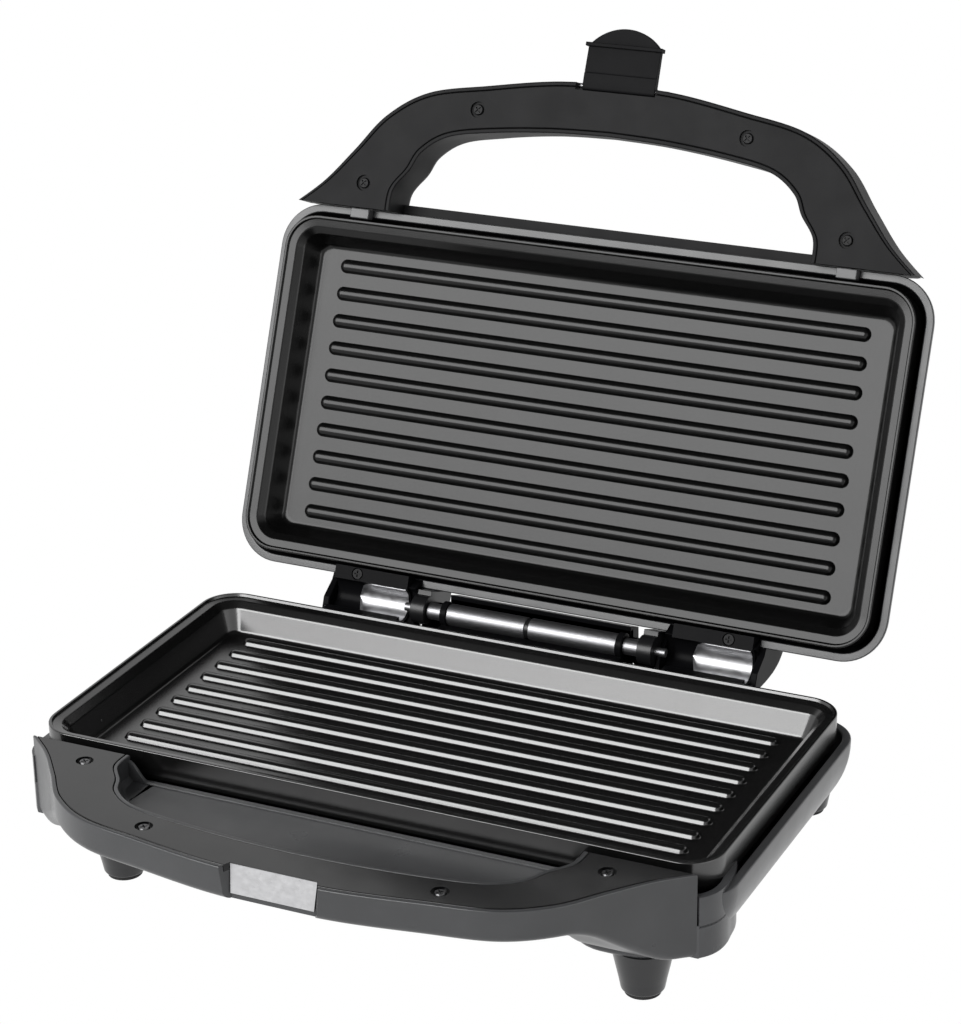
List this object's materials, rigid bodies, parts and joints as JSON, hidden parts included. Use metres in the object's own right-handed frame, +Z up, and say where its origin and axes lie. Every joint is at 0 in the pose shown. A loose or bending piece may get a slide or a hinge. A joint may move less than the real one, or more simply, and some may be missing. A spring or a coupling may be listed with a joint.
{
  "type": "sandwich toaster",
  "caption": "Countertop sandwich toaster with two deep ribbed plates, a lid hinged at the back, a looped handle on each half and a swinging latch.",
  "frame": {"origin": "middle of the footprint on the table, at the underside of the foot soles, with the lid standing open", "axes": "+Z up, +Y towards the hinge at the back, +X to the right as seen from the handle side"},
  "size_m": [0.3216, 0.363, 0.3206],
  "materials": {
    "housing_plastic": "satin dark grey moulded plastic",
    "non_stick_plate": "glossy black non-stick coating on cast metal",
    "element_steel": "plain steel",
    "reflector_sheet": "plain sheet",
    "thermostat_body": "pale moulded insulator",
    "black_plastic": "glossy black moulded plastic",
    "screw_steel": "darkened steel",
    "hinge_chrome": "bright plated steel",
    "sole_rubber": "soft black rubber",
    "tab_plastic": "light grey moulded plastic",
    "lens_plastic": "tinted clear plastic"
  },
  "bodies": {
    "base": {"base_housing": "housing_plastic", "lower_cooking_plate": "non_stick_plate", "lower_heating_element": "element_steel", "lower_reflector": "reflector_sheet", "lower_plate_screws": "element_steel", "thermostat": "thermostat_body", "thermal_fuse": "thermostat_body", "terminal_block": "thermostat_body", "cord_gland": "black_plastic", "lower_handle_shell": "housing_plastic", "lower_handle_cover": "housing_plastic", "lower_handle_screws": "screw_steel", "feet": "housing_plastic", "foot_soles": "sole_rubber", "hinge_bracket": "black_plastic", "hinge_barrel": "hinge_chrome", "hinge_barrel_collar": "black_plastic", "hinge_rod": "hinge_chrome", "base_hinge_mounts": "black_plastic", "base_hinge_screws": "screw_steel"},
    "lid": {"lid_housing": "housing_plastic", "upper_cooking_plate": "non_stick_plate", "upper_heating_element": "element_steel", "upper_reflector": "reflector_sheet", "upper_plate_screws": "element_steel", "upper_handle_shell": "housing_plastic", "upper_handle_cover": "housing_plastic", "upper_handle_screws": "screw_steel", "cover_tabs": "tab_plastic", "lid_hinge_knuckles": "black_plastic", "lid_hinge_covers": "black_plastic", "lid_hinge_screws": "screw_steel", "indicator_lenses": "lens_plastic", "latch_pin": "screw_steel"},
    "latch": {"latch": "black_plastic"}
  },
  "joints": [
    {"name": "lid_hinge", "type": "hinge", "parent": "base", "child": "lid", "pos_m": [0, 0.0667, 0.069], "axis": [1, 0, 0], "range_deg": [0, 112.7]},
    {"name": "latch_pivot", "type": "hinge", "parent": "lid", "child": "latch", "pos_m": [0, 0.16771, 0.29492], "axis": [1, 0, 0], "range_deg": [0, 90]}
  ]
}
